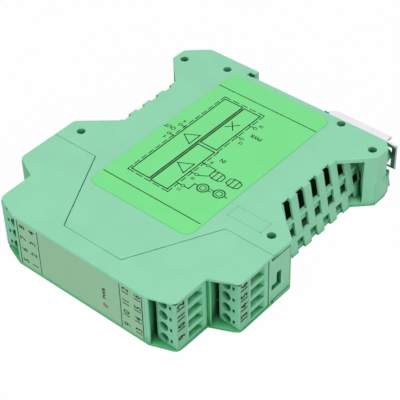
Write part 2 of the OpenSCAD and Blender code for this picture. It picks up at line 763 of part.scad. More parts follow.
// Eight-legged chips on the board, both sides of the isolation gap
module amplifier_chips() color("darkslategray") for (p = chip_places) translate([p[0], p[1], board_top]) {
    translate([-chip[0] / 2, -chip[1] / 2, chip_lift]) cube(chip);
    for (k = [-1.5:1:1.5]) both() translate([chip[0] / 2 - eps, k * chip_pitch - chip_leg[1] / 2, 0]) {
        translate([chip_leg[0], 0, 0]) cube(chip_leg);
        translate([0, 0, chip_leg[2] - chip_leg[0]]) cube([2 * chip_leg[0], chip_leg[1], chip_leg[0] - eps]);
    }
}

// Power lamp on the front edge of the board, its dome in the marking plate
module power_lamp() color("indianred") translate([lamp_x, y_front + lamp_set, lamp_z]) rotate([-90, 0, 0]) {
    r = lamp_d / 2;
    end = lamp_len + lamp_base;
    rotate_extrude() polygon([
        [0, 0], [r / 2, lamp_set / 2], [r, 2 * lamp_set], [r, lamp_len], [r + lamp_flange, lamp_len],
        [r + lamp_flange, end], [0, end]]);
    for (s = [-1, 1]) translate([0, s * (board_t / 2 + lamp_set), end + lamp_legs / 2 - eps])
        cube([tail_w, 2 * lamp_set, lamp_legs], center = true);
}

// One terminal plug, drawn from its inner face, its front face and the underside
module plug_body(x, y) color("mediumaquamarine") translate([x, y, 0]) {
    cage_in = cage_u - chamber_side;
    side = pin_side + 2 * (socket_gap + socket_leaf + chamber_side);
    difference() {
        translate([0, 0, plug_z]) cube([plug_w, plug_d, plug_h]);
        translate([plug_w - marker_t, marker_setback, plug_z - 1]) cube([1, marker_w + clear, plug_h + 2]);
        for (i = [0:poles - 1]) translate([0, 0, pole_z(i)]) {
            translate([screw_inset, -1, 0]) rotate([-90, 0, 0])
                cylinder(d = screw_hole_d, h = 1 + cage_front);
            box([cage_in, cage_front - chamber_side, -cage_h / 2 - chamber_side],
                [cage_in + cage_w + 2 * chamber_side, socket_front, cage_h / 2 + chamber_side]);
            box([cage_in + cage_w, funnel_setback, -funnel_h / 2],
                [plug_w + 1, funnel_setback + funnel_d, funnel_h / 2]);
            box([screw_inset - side / 2, socket_front - eps, -socket_h / 2 - chamber_side],
                [screw_inset + side / 2, socket_front + socket_d + clear, socket_h / 2 + chamber_side]);
            pin_hole(screw_inset, socket_front, 0, plug_d);
            box([plug_w - test_inset - test_w, -1, -test_h / 2],
                [plug_w - test_inset, cage_front, test_h / 2]);
        }
    }
}

// Slotted clamp screws of one plug
module clamp_screws(x, y) color("silver") for (i = [0:poles - 1])
    translate([x + screw_inset, y, pole_z(i)]) rotate([-90, 0, 0]) difference() {
        union() {
            translate([0, 0, head_setback]) cylinder(d = screw_head_d, h = head_h);
            translate([0, 0, head_setback + head_h - eps]) cylinder(d = screw_d, h = shank_h);
        }
        translate([0, 0, head_setback])
            cube([2 * screw_head_d, driver_slot, 2 * driver_depth], center = true);
    }

// Box clamps that the screws draw on to the wires
module wire_clamps(x, y) color("gold") for (i = [0:poles - 1]) translate([x, y, pole_z(i)]) difference() {
    box([cage_u, cage_front, -cage_h / 2], [cage_u + cage_w, cage_front + cage_d, cage_h / 2]);
    box([0, cage_front + cage_sheet, -funnel_h / 2],
        [plug_w, cage_front + cage_d - cage_sheet, funnel_h / 2]);
    translate([screw_inset, 0, 0]) rotate([-90, 0, 0])
        cylinder(d = screw_d + clear, h = cage_front + cage_sheet + eps);
}

// Forked sockets that take the pins of the header
module contact_sockets(x, y) color("gold") for (i = [0:poles - 1])
    translate([x + screw_inset, y + socket_front, pole_z(i)]) for (s = [-1, 1]) {
        near = pin_side / 2 + socket_gap;
        box([min(s * near, s * (near + socket_leaf)), 0, -socket_h / 2],
            [max(s * near, s * (near + socket_leaf)), socket_d, socket_h / 2]);
        box([-near - eps, 0, -socket_h / 2], [near + eps, socket_leaf, socket_h / 2]);
    }

// Marker strip on the outer face of a plug
module marker_strip(x, y) color("honeydew")
    translate([x + plug_w - marker_t, y + marker_setback + clear / 2, plug_z])
        cube([marker_t, marker_w, plug_h]);

// Base of a pin header behind its chamber
module header_base(x, y) color("seagreen") difference() {
    back = y + plug_d + plug_clear + chamber_wall + clear;
    box([x + screw_inset - header_w / 2, back, shell_wall + plug_clear],
        [x + screw_inset + header_w / 2, back + header_d, z_plate - plug_clear]);
    pin_row(x, y, clear / 2);
}

// Bent contact pins of a header, each one lying in its own slot of the base
module header_pins(x, y) color("gold") pin_row(x, y, 0);

// Four bent pins, grown by a clearance: a tip into the plug, a tail inwards and a leg to the board
module pin_row(x, y, grow) {
    back = y + plug_d + plug_clear + chamber_wall + clear;
    tip = y + socket_front + socket_leaf + clear;
    pin_x = x + screw_inset;
    leg_x = (y < y_face_2 - 1 ? board_front_w : board_rear_w) / 2 - leg_inset;
    s = pin_side / 2 + grow;
    t = tail_w / 2 + grow;
    for (i = [0:poles - 1]) {
        z = pole_z(i);
        tail_y = back + tail_start + i * tail_pitch;
        low = z > board_z;
        box([pin_x - s, tip, z - s], [pin_x + s, tail_y + t, z + s]);
        box([leg_x - t, tail_y - t, z - t], [pin_x + s - eps, tail_y + t - eps, z + t]);
        box([leg_x - t, tail_y - t + eps, low ? board_top : z - t + eps],
            [leg_x + t, tail_y + t - 2 * eps, low ? z + t - eps : board_z]);
    }
}

// The pieces of one terminal at its place on the +X side
module terminal(kind, x, y) {
    if (kind == "plug_body") plug_body(x, y);
    if (kind == "clamp_screws") clamp_screws(x, y);
    if (kind == "wire_clamps") wire_clamps(x, y);
    if (kind == "contact_sockets") contact_sockets(x, y);
    if (kind == "marker_strip") marker_strip(x, y);
    if (kind == "header_base") header_base(x, y);
    if (kind == "header_pins") header_pins(x, y);
}

module front_right(kind) terminal(kind, level_1_x, y_face_1);
module front_left(kind) mirror([1, 0, 0]) front_right(kind);
module rear_right(kind) terminal(kind, level_2_x, y_face_2);
module rear_left(kind) mirror([1, 0, 0]) rear_right(kind);

side_shell_top();
side_shell_bottom();
front_housing();
front_plate();
side_label();
foot_catch();
catch_spring();
main_board();
transformer_core();
transformer_winding();
filter_capacitors();
amplifier_chips();
power_lamp();
front_left("plug_body");  // plug_body_front_left
front_right("plug_body");  // plug_body_front_right
rear_left("plug_body");  // plug_body_rear_left
rear_right("plug_body");  // plug_body_rear_right
front_left("clamp_screws");  // clamp_screws_front_left
front_right("clamp_screws");  // clamp_screws_front_right
rear_left("clamp_screws");  // clamp_screws_rear_left
rear_right("clamp_screws");  // clamp_screws_rear_right
front_left("wire_clamps");  // wire_clamps_front_left
front_right("wire_clamps");  // wire_clamps_front_right
rear_left("wire_clamps");  // wire_clamps_rear_left
rear_right("wire_clamps");  // wire_clamps_rear_right
front_left("contact_sockets");  // contact_sockets_front_left
front_right("contact_sockets");  // contact_sockets_front_right
rear_left("contact_sockets");  // contact_sockets_rear_left
rear_right("contact_sockets");  // contact_sockets_rear_right
front_left("marker_strip");  // marker_strip_front_left
front_right("marker_strip");  // marker_strip_front_right
rear_left("marker_strip");  // marker_strip_rear_left
rear_right("marker_strip");  // marker_strip_rear_right
front_left("header_base");  // header_base_front_left
front_right("header_base");  // header_base_front_right
rear_left("header_base");  // header_base_rear_left
rear_right("header_base");  // header_base_rear_right
front_left("header_pins");  // header_pins_front_left
front_right("header_pins");  // header_pins_front_right
rear_left("header_pins");  // header_pins_rear_left
rear_right("header_pins");  // header_pins_rear_right
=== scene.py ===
# %% [markdown]
# # A signal isolator lying on its side
# The imported model holds every solid of this rail-mounted signal isolator at its true size.
# This lesson dresses those solids: it rounds the moulded edges, gives each piece its finish
# and prints the marks. The first step loads the model and puts the place of each solid into its
# mesh, so that the box of a solid can be read from its corners. The looks may not change the
# size of the object.

# %% Load the imported model
import math
import bmesh
import bpy
from mathutils import Matrix, Vector


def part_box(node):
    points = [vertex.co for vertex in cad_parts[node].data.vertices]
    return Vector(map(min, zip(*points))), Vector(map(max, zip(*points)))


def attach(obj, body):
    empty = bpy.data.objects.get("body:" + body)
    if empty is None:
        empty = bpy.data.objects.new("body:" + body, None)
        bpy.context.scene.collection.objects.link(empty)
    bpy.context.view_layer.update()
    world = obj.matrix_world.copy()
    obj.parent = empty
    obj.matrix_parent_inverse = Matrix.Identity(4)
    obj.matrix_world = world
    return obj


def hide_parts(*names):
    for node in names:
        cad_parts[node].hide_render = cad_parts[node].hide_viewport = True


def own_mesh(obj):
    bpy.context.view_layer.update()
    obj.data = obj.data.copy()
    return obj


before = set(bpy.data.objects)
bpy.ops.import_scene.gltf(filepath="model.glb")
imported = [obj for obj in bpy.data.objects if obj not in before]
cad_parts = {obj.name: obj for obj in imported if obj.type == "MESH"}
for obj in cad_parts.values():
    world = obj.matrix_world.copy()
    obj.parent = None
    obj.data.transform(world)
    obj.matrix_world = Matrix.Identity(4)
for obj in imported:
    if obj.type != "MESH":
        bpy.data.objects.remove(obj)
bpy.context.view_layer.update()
MM = 0.001

# %% [markdown]
# ## Camera
# The photograph looks down on the right front corner from a little less than half a metre.
# The turn, height, lean and lens were found by matching corners and pin holes of the model
# with the same points in the picture. A camera can be turned by hand until it looks right, but
# one that is built from these numbers is right each time.

# %% Camera
turn, height, lean = (math.radians(v) for v in (41.518, 41.522, -1.604))
aim = Vector((5.452, -2.719, 11.25)) * MM
DISTANCE, LENS, SENSOR, NEAREST = 452.751, 116.99, 36, 0.01
back = Vector((math.sin(turn) * math.cos(height), -math.cos(turn) * math.cos(height), math.sin(height)))
level = Vector((math.cos(turn), math.sin(turn), 0))
steep = back.cross(level)
right = math.cos(lean) * level + math.sin(lean) * steep
upward = math.cos(lean) * steep - math.sin(lean) * level
seat = Matrix((right, upward, back)).transposed().to_4x4()
seat.translation = aim + DISTANCE * MM * back
bpy.ops.object.select_all(action="DESELECT")
bpy.ops.object.camera_add()
camera = bpy.context.object
camera.name = "photo_camera"
camera.matrix_world = seat
camera.data.sensor_width = SENSOR
camera.data.lens = LENS
camera.data.clip_start = NEAREST
bpy.context.scene.camera = camera
bpy.context.scene.view_settings.view_transform = "Standard"
print("camera", [round(v, 4) for v in seat.translation], "lens", round(camera.data.lens, 2))

# %% [markdown]
# ## Sky and floor
# The picture is a product shot on white with hardly a shadow. A white sky lights the object
# from all round. A very bright sky would wash the object out, so the sky is white only where the
# camera or a reflection looks at it, and dimmer as a light. In the same way the floor is mostly
# white by itself for the camera, and a part of it stays matt, so that the shadow under the
# housing is still there, only pale.

# %% A shader switch for what the camera and reflections see
def seen_directly(nodes, links):
    """A factor that is 1 for camera, glossy and transmission rays."""
    path = nodes.new("ShaderNodeLightPath")
    first = nodes.new("ShaderNodeMath")
    first.operation = "MAXIMUM"
    links.new(path.outputs["Is Camera Ray"], first.inputs[0])
    links.new(path.outputs["Is Glossy Ray"], first.inputs[1])
    both = nodes.new("ShaderNodeMath")
    both.operation = "MAXIMUM"
    links.new(first.outputs[0], both.inputs[0])
    links.new(path.outputs["Is Transmission Ray"], both.inputs[1])
    return both.outputs[0]

# %% Sky
SKY_LIGHT = 0.3
sky = bpy.data.worlds.new("white_sky")
sky.use_nodes = True
bpy.context.scene.world = sky
nodes, links = sky.node_tree.nodes, sky.node_tree.links
nodes.clear()
shown = nodes.new("ShaderNodeBackground")
shown.inputs["Strength"].default_value = 1.0
shining = nodes.new("ShaderNodeBackground")
shining.inputs["Strength"].default_value = SKY_LIGHT
for backdrop in (shown, shining):
    backdrop.inputs["Color"].default_value = (1, 1, 1, 1)
choice = nodes.new("ShaderNodeMixShader")
links.new(seen_directly(nodes, links), choice.inputs["Fac"])
links.new(shining.outputs[0], choice.inputs[1])
links.new(shown.outputs[0], choice.inputs[2])
links.new(choice.outputs[0], nodes.new("ShaderNodeOutputWorld").inputs["Surface"])
print("sky lights with", SKY_LIGHT)

# %% Floor
FLOOR_SIZE, FLOOR_LEVEL, PAPER_TONE, GLOW_SHARE = 6, -0.00005, 0.72, 0.97
bpy.ops.object.select_all(action="DESELECT")
bpy.ops.mesh.primitive_plane_add(size=FLOOR_SIZE, location=(0, 0, FLOOR_LEVEL))
floor = bpy.context.object
floor.name = "studio_floor"
bpy.ops.object.transform_apply(location=True)
paper = bpy.data.materials.new("white_paper")
paper.use_nodes = True
nodes, links = paper.node_tree.nodes, paper.node_tree.links
nodes.clear()
matt = nodes.new("ShaderNodeBsdfDiffuse")
matt.inputs["Color"].default_value = (PAPER_TONE, PAPER_TONE, PAPER_TONE, 1)
glow = nodes.new("ShaderNodeEmission")
glow.inputs["Strength"].default_value = 1.0
pale = nodes.new("ShaderNodeMixShader")
pale.inputs["Fac"].default_value = GLOW_SHARE
links.new(matt.outputs[0], pale.inputs[1])
links.new(glow.outputs[0], pale.inputs[2])
choice = nodes.new("ShaderNodeMixShader")
links.new(seen_directly(nodes, links), choice.inputs["Fac"])
links.new(matt.outputs[0], choice.inputs[1])
links.new(pale.outputs[0], choice.inputs[2])
links.new(choice.outputs[0], nodes.new("ShaderNodeOutputMaterial").inputs["Surface"])
floor.data.materials.append(paper)
print(floor.name, FLOOR_SIZE, "m wide")

# %% [markdown]
# ## Lamps
# In the picture the side plate is brightest, the right walls are a little darker and the front is
# darker again. Three broad soft lamps give these steps: one above, one in front and one to the
# right. They are hidden from reflections, because a lamp that shows in the metal catch would
# leave a patch there, while the white sky gives it an even sheen.

# %% Soft lamps
def soft_lamp(name, place, size, watts):
    """A round soft lamp that looks at the object."""
    bpy.ops.object.select_all(action="DESELECT")
    bpy.ops.object.light_add(type="AREA", location=place)
    lamp = bpy.context.object
    lamp.name = name
    lamp.data.shape = "DISK"
    lamp.data.size = size
    lamp.data.energy = watts
    lamp.visible_glossy = False
    lamp.rotation_euler = (aim - lamp.location).to_track_quat("-Z", "Y").to_euler()
    print(name, watts, "W")

soft_lamp("over_lamp", (0.05, -0.2, 1.15), 0.8, 7.7)
soft_lamp("front_lamp", (-0.3, -1.0, 0.5), 0.7, 2.0)
soft_lamp("side_lamp", (0.88, -0.38, 0.6), 0.7, 3.6)

# %% [markdown]
# ## Finishes
# Every finish here is a plain shader with two layers of noise on Object coordinates. The wide
# noise lets the colour and the gloss drift a little, as they do on a moulding. The fine
# noise is the grain of the tool, the rolling marks of sheet steel or the weave of the board,
# and only bends the light. One helper builds them all, so they differ by their numbers.
#
# The green plastic gets painted shade inside holes, slots and gaps. An Ambient Occlusion node darkens
# the colour the more of the room is hidden within a given distance, and makes it a stronger green, as
# light that bounces from wall to wall would. More bounces would cost render time, so this shade is
# painted instead.

# %% Noise and painted nook shade helpers
NOISE_LOW, NOISE_HIGH = 0.3, 0.7
# Painted shade: the colour is multiplied by these tones, dark and green in deep nooks, unchanged on open
# faces.
PAINTED_NOOK_SHADE = ((0.2, (0.05, 0.12, 0.08)), (0.6, (0.3, 0.72, 0.45)), (0.92, (1, 1, 1)))
NOOK_RAYS = 8

def noise(made, where, length, detail):
    """A noise texture with patches of a length in mm."""
    texture = made.node_tree.nodes.new("ShaderNodeTexNoise")
    texture.inputs["Scale"].default_value = 1 / (length * MM)
    texture.inputs["Detail"].default_value = detail
    made.node_tree.links.new(where, texture.inputs["Vector"])
    return texture.outputs["Fac"]

def paint_nook_shade(made, reach):
    """Paints shade into the colour of a finish where other faces are near, within a reach in mm."""
    nodes, links = made.node_tree.nodes, made.node_tree.links
    base = nodes["Principled BSDF"].inputs["Base Color"]
    drifting = base.links[0].from_socket
    nook = nodes.new("ShaderNodeAmbientOcclusion")
    nook.inputs["Distance"].default_value = reach * MM
    nook.samples = NOOK_RAYS
    shade_depths = nodes.new("ShaderNodeValToRGB")
    for place, shade in PAINTED_NOOK_SHADE:
        shade_depths.color_ramp.elements.new(place).color = (*shade, 1)
    shade_depths.color_ramp.elements.remove(shade_depths.color_ramp.elements[0])
    links.new(nook.outputs["AO"], shade_depths.inputs["Fac"])
    shaded_colour = nodes.new("ShaderNodeVectorMath")
    shaded_colour.operation = "MULTIPLY"
    links.new(drifting, shaded_colour.inputs[0])
    links.new(shade_depths.outputs["Color"], shaded_colour.inputs[1])
    links.new(shaded_colour.outputs["Vector"], base)

# %% Finish helper
GLOSS_DRIFT, RELIEF = 0.05, 0.35
WIDE_DETAIL, FINE_DETAIL = 5, 3

def finish(name, colour, drift, roughness, patch, grain, depth,
           metal=0.0, specular=0.5, stretch=(1, 1, 1), shade_reach=0):
    """A material with a drifting colour and a fine grain.

    Patch, grain, depth and shade_reach are lengths in mm; shade_reach is how far the painted nook shade
    reaches."""
    made = bpy.data.materials.new(name)
    made.use_nodes = True
    nodes, links = made.node_tree.nodes, made.node_tree.links
    shader = nodes["Principled BSDF"]
    shader.inputs["Metallic"].default_value = metal
    shader.inputs["Specular IOR Level"].default_value = specular
    pull = nodes.new("ShaderNodeMapping")
    pull.inputs["Scale"].default_value = stretch
    links.new(nodes.new("ShaderNodeTexCoord").outputs["Object"], pull.inputs["Vector"])
    clouds = noise(made, pull.outputs[0], patch, WIDE_DETAIL)
    tint = nodes.new("ShaderNodeValToRGB")
    tint.color_ramp.elements[0].position = NOISE_LOW
    tint.color_ramp.elements[0].color = (*(c * (1 - drift) for c in colour), 1)
    tint.color_ramp.elements[1].position = NOISE_HIGH
    tint.color_ramp.elements[1].color = (*(min(c * (1 + drift), 1) for c in colour), 1)
    links.new(clouds, tint.inputs["Fac"])
    links.new(tint.outputs["Color"], shader.inputs["Base Color"])
    if shade_reach:
        paint_nook_shade(made, shade_reach)
    gloss = nodes.new("ShaderNodeMapRange")
    gloss.inputs["From Min"].default_value = NOISE_LOW
    gloss.inputs["From Max"].default_value = NOISE_HIGH
    gloss.inputs["To Min"].default_value = roughness - GLOSS_DRIFT
    gloss.inputs["To Max"].default_value = roughness + GLOSS_DRIFT
    links.new(clouds, gloss.inputs["Value"])
    links.new(gloss.outputs["Result"], shader.inputs["Roughness"])
    relief = nodes.new("ShaderNodeBump")
    relief.inputs["Strength"].default_value = RELIEF
    relief.inputs["Distance"].default_value = depth * MM
    links.new(noise(made, pull.outputs[0], grain, FINE_DETAIL), relief.inputs["Height"])
    links.new(relief.outputs["Normal"], shader.inputs["Normal"])
    return made

# %% Plastic, film and card
MINT, PLUG_GREEN = (0.28, 0.655, 0.43), (0.255, 0.64, 0.415)
# shade_reach sets how far the painted shade in holes, slots and gaps reaches; the front housing's is
# longer, so its chambers are painted darker.
shell_plastic = finish("shell_plastic", MINT, 0.03, 0.46, 9, 0.22, 0.02, specular=0.12, shade_reach=3.1)
front_plastic = finish("front_plastic", MINT, 0.03, 0.46, 9, 0.22, 0.02, specular=0.12, shade_reach=6.5)
plug_plastic = finish("plug_plastic", PLUG_GREEN, 0.03, 0.5, 7, 0.2, 0.02, specular=0.12, shade_reach=3.4)
label_film = finish("label_film", (0.175, 0.725, 0.245), 0.02, 0.36, 12, 0.5, 0.006, specular=0.4)
plate_print = finish("plate_print", (0.305, 0.565, 0.35), 0.03, 0.5, 10, 0.3, 0.01, specular=0.15)
marker_card = finish("marker_card", (0.235, 0.53, 0.33), 0.04, 0.55, 4, 0.2, 0.01, specular=0.15)
header_plastic = finish("header_plastic", (0.05, 0.2, 0.11), 0.05, 0.5, 4, 0.2, 0.02)
lamp_lens = finish("lamp_lens", (0.55, 0.19, 0.15), 0.08, 0.25, 1, 0.3, 0.005)
print(len(bpy.data.materials), "materials")

# %% Metal and circuit
ZINC, ALONG_X, ALONG_TAPE = (0.86, 0.845, 0.88), (0.2, 1, 1), (1, 1, 4)
zinc_steel = finish("zinc_steel", ZINC, 0.04, 0.36, 6, 0.3, 0.008, metal=1.0, stretch=ALONG_X)
screw_steel = finish("screw_steel", (0.62, 0.63, 0.64), 0.06, 0.34, 2, 0.15, 0.006, metal=1.0)
spring_steel = finish("spring_steel", (0.42, 0.42, 0.43), 0.06, 0.32, 1, 0.12, 0.005, metal=1.0)
tinned_brass = finish("tinned_brass", (0.78, 0.71, 0.52), 0.06, 0.33, 2, 0.15, 0.006, metal=1.0)
board_mask = finish("board_mask", (0.012, 0.07, 0.028), 0.18, 0.35, 3, 0.6, 0.02)
ferrite = finish("ferrite", (0.035, 0.035, 0.038), 0.2, 0.62, 2, 0.25, 0.04)
winding_tape = finish("winding_tape", (0.62, 0.42, 0.06), 0.08, 0.42, 5, 0.8, 0.02, stretch=ALONG_TAPE)
can_sleeve = finish("can_sleeve", (0.03, 0.045, 0.07), 0.12, 0.38, 4, 0.3, 0.01)
chip_resin = finish("chip_resin", (0.018, 0.018, 0.02), 0.2, 0.6, 2, 0.15, 0.02)
print(len(bpy.data.materials), "materials")

# %% [markdown]
# ## Painted reflection on the upright faces of the catch
# The top of the zinc-plated catch mirrors the white ceiling of the studio, and its upright faces
# mirror the dim room. A dark wall in the sky would show in the background, so a painted
# reflection of the dim room is mixed into the finish itself: a dim colour where a face stands
# upright.

# %% Painted dim reflection on upright faces
UPRIGHT, LYING = 0.2, 0.7

def paint_dim_reflection(made, colour):
    """Mixes a painted reflection, a dim colour, into a finish where the surface stands upright, by the
    direction of the face.
    """
    nodes, links = made.node_tree.nodes, made.node_tree.links
    base = nodes["Principled BSDF"].inputs["Base Color"]
    drifting = base.links[0].from_socket
    facing = nodes.new("ShaderNodeSeparateXYZ")
    links.new(nodes.new("ShaderNodeNewGeometry").outputs["True Normal"], facing.inputs[0])
    rise = nodes.new("ShaderNodeMapRange")
    rise.inputs["From Min"].default_value = UPRIGHT
    rise.inputs["From Max"].default_value = LYING
    links.new(facing.outputs["Z"], rise.inputs["Value"])
    blend = nodes.new("ShaderNodeMix")
    blend.data_type = "VECTOR"
    blend.inputs["A"].default_value = colour
    links.new(rise.outputs["Result"], blend.inputs["Factor"])
    links.new(drifting, blend.inputs["B"])
    links.new(blend.outputs["Result"], base)
    print(made.name, "dims on upright faces")

# The dim colour is a painted reflection of the dim room on the upright faces of the catch.
paint_dim_reflection(zinc_steel, (0.3, 0.38, 0.36))

# %% [markdown]
# ## Mouldings with soft edges
# No moulding has knife edges: the tool leaves a small round on each outer rim, and it is that
# round which catches the light. A Bevel modifier on every edge would fold the thin strips
# beside slots and holes, so the rims are picked in code: a rim lies in an outer plane of the
# solid, bends outwards and doesn't run round a hole. The copy of the solid is merged, its flat
# triangles are dissolved into whole faces, the rims are bevelled, and the copy stands for the
# solid, at the same place and on the same body.

# %% Rim helpers
STEEP, FAINT_BEND = math.radians(40), math.radians(1)
FLUSH = 0.005

def bend(edge):
    """The angle between the two faces of an edge."""
    return edge.calc_face_angle(0) if len(edge.link_faces) == 2 else 0

def round_a_hole(edge):
    """True for an edge beside a face that curves inwards, as the wall of a hole does."""
    sides = (side for face in edge.link_faces for side in face.edges if side is not edge)
    return any(not side.is_convex and FAINT_BEND < bend(side) < STEEP for side in sides)

def on_plane(edge, axis, value):
    """True for an edge that lies in the plane at this value of an axis."""
    return all(abs(corner.co[axis] - value) < FLUSH * MM for corner in edge.verts)

def rims(net, planes):
    """The outward edges that lie in all planes of any row of planes."""
    found = [edge for edge in net.edges if edge.is_convex and STEEP < bend(edge) < math.pi - STEEP]
    found = [edge for edge in found if any(all(on_plane(edge, *p) for p in row) for row in planes)]
    return [edge for edge in found if not round_a_hole(edge)]

# %% Copy and corner helpers
MERGE = 0.002

def merged_copy(name, node):
    """A copy of a CAD node with its doubled corners merged, left in edit mode with all selected."""
    bpy.ops.object.select_all(action="DESELECT")
    piece = bpy.data.objects.new(name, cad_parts[node].data.copy())
    bpy.context.scene.collection.objects.link(piece)
    piece.select_set(True)
    bpy.context.view_layer.objects.active = piece
    bpy.ops.object.mode_set(mode="EDIT")
    bpy.ops.mesh.select_mode(type="EDGE")
    bpy.ops.mesh.select_all(action="SELECT")
    bpy.ops.mesh.remove_doubles(threshold=MERGE * MM)
    return piece

def nudge(mesh, chosen, shift):
    """Moves the corners for which chosen(x, y, z) holds, all in mm."""
    bpy.ops.mesh.select_mode(type="VERT")
    net = bmesh.from_edit_mesh(mesh)
    for corner in net.verts:
        corner.select_set(chosen(*(corner.co / MM)))
    moved = sum(corner.select for corner in net.verts)
    bmesh.update_edit_mesh(mesh)
    bpy.ops.transform.translate(value=Vector(shift) * MM)
    return moved

# %% Edge helper
FLAT, SMOOTH = math.radians(0.2), math.radians(35)
FLAT_WINS = 100

def soften(node, body, material, width, planes, nudges=()):
    """A copy of a CAD node with nudged corners and rounded rims, which stands for the node."""
    piece = merged_copy("soft_" + node, node)
    bpy.ops.mesh.dissolve_limited(angle_limit=FLAT, delimit={"NORMAL"})
    moved = [nudge(piece.data, *each) for each in nudges]
    bpy.ops.mesh.select_mode(type="EDGE")
    bpy.ops.mesh.select_all(action="DESELECT")
    net = bmesh.from_edit_mesh(piece.data)
    chosen = rims(net, planes)
    for edge in chosen:
        edge.select = True
    bmesh.update_edit_mesh(piece.data)
    bpy.ops.mesh.bevel(offset=width * MM, segments=2, affect="EDGES", clamp_overlap=False)
    bpy.ops.object.mode_set(mode="OBJECT")
    bpy.ops.object.shade_smooth_by_angle(angle=SMOOTH)
    evening = piece.modifiers.new("evening", "WEIGHTED_NORMAL")
    evening.keep_sharp = True
    evening.weight = FLAT_WINS
    bpy.ops.object.modifier_apply(modifier="evening")
    cutting = piece.modifiers.new("cutting", "TRIANGULATE")
    cutting.keep_custom_normals = True
    bpy.ops.object.modifier_apply(modifier="cutting")
    piece.data.materials.clear()
    piece.data.materials.append(material)
    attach(piece, body)
    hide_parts(node)
    print(piece.name, moved, "corners moved,", len(chosen), "rim edges,",
          len(piece.data.polygons), "faces")
    return piece

# %% [markdown]
# ## Housing
# The housing is two shells with vent walls and a front housing with the plug chambers. Three
# small forms are shifted while the copies are merged: the rail between the two rows of vent slots
# lies a little lower, the end wall of the pocket beside each rail lobe stands further forward, and
# the straight seams are closed to a faint line. Moving a few corners keeps each mesh whole, which
# cutting and joining might not.

# %% Places of the shifted corners
X, Y, Z = range(3)
RAIL_LEVELS, RAIL_X, RAIL_Y = (14.4, 15.4), (36.2, 39.5), (2.5, 46.5)
RAIL_DROP, WALL_SLANT = 1.5, 0.2022
POCKET_END, POCKET_X, POCKET_Z = 47.25, (36, 44.3), (1.7, 20.8)
POCKET_FILL = 2.25
SEAMS, SEAM_Z, SEAM_CLOSE = (-17.85, -50.15), 21.4, 0.14
MEETS = 0.02

def near(value, *targets):
    """True for a length in mm that meets one of the targets."""
    return any(abs(value - target) < MEETS for target in targets)

def between(value, limits):
    """True for a value that lies inside two limits."""
    return limits[0] < value < limits[1]

def on_rail(side):
    """A test for the corners of the rail between the two rows of slots."""
    return lambda x, y, z: near(z, *RAIL_LEVELS) and between(side * x, RAIL_X) and between(y, RAIL_Y)

def in_pocket(x, y, z):
    """True for the corners of the end wall of a pocket beside the rail lobe."""
    return near(y, POCKET_END) and between(abs(x), POCKET_X) and between(z, POCKET_Z)

def at_seam(x, y, z):
    """True for the corners of the straight seams between the front housing and the upper shell."""
    return near(y, *SEAMS) and z > SEAM_Z

print("rail down", RAIL_DROP, "mm, pocket wall forward", POCKET_FILL, "mm, seams in", SEAM_CLOSE, "mm")

# %% Housing
SHELL_ROUND = 0.25
underside, top_side = 0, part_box("front_housing")[1][Z]
both_sides = [[(Z, underside)], [(Z, top_side)]]
lowered = [(on_rail(side), (side * WALL_SLANT * RAIL_DROP, 0, -RAIL_DROP)) for side in (-1, 1)]
filled = [(in_pocket, (0, -POCKET_FILL, 0))]
closed = [(at_seam, (0, SEAM_CLOSE, 0))]
soften("side_shell_top", "housing", shell_plastic, SHELL_ROUND, both_sides[1:],
       lowered + filled)
soften("side_shell_bottom", "housing", shell_plastic, SHELL_ROUND, both_sides[:1], filled)
soften("front_housing", "housing", front_plastic, SHELL_ROUND, both_sides, closed)

# %% [markdown]
# ## Plugs
# Each terminal plug is a block with four screw holes in front and four wire funnels in its outer
# face. A funnel guides the wire, so it opens towards the outside. It could be cut as a wedge, but
# the straight funnel of the solid only needs its outer corners moved apart.

# %% Plugs
POLE = 5.08
MIDDLE = top_side / MM / 2
PLUG_ROUND = 0.15
FUNNEL_HALF, FUNNEL_FRONT, FUNNEL_REAR = 1.3, 5, 11.4
FLARE_UP, FLARE_BACK = 0.42, 1.1
steps = [(place - 1.5) * POLE for place in range(4)]
corners = ("front_left", "front_right", "rear_left", "rear_right")

def flares(outer, front):
    """Nudges that open the wire funnels of a plug towards its outer face."""
    def at_funnel(x, y, z, half):
        heights = [MIDDLE + step + half for step in steps]
        return near(x, outer) and y > front + FUNNEL_FRONT and near(z, *heights)
    return [(lambda x, y, z: at_funnel(x, y, z, FUNNEL_HALF), (0, 0, FLARE_UP)),
            (lambda x, y, z: at_funnel(x, y, z, -FUNNEL_HALF), (0, 0, -FLARE_UP)),
            (lambda x, y, z: near(x, outer) and near(y, front + FUNNEL_REAR), (0, FLARE_BACK, 0))]

for corner in corners:
    low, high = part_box("plug_body_" + corner)
    front_edges = [[(X, low[X]), (Y, low[Y])], [(X, high[X]), (Y, low[Y])]]
    outer = (low if corner.endswith("left") else high)[X] / MM
    soften("plug_body_" + corner, "plug_" + corner, plug_plastic, PLUG_ROUND, front_edges,
           flares(outer, low[Y] / MM))

# %% [markdown]
# ## Lips beside the plugs
# A narrow lip stands in front of the gap between each plug and the inner wall of its chamber.
# From the front it widens the edge of the housing beside the front plate. In the picture the lips
# on the left are narrower than those on the right. The four lips are plain cubes, stretched to
# size in edit mode, and sit a little way inside the walls that carry them.

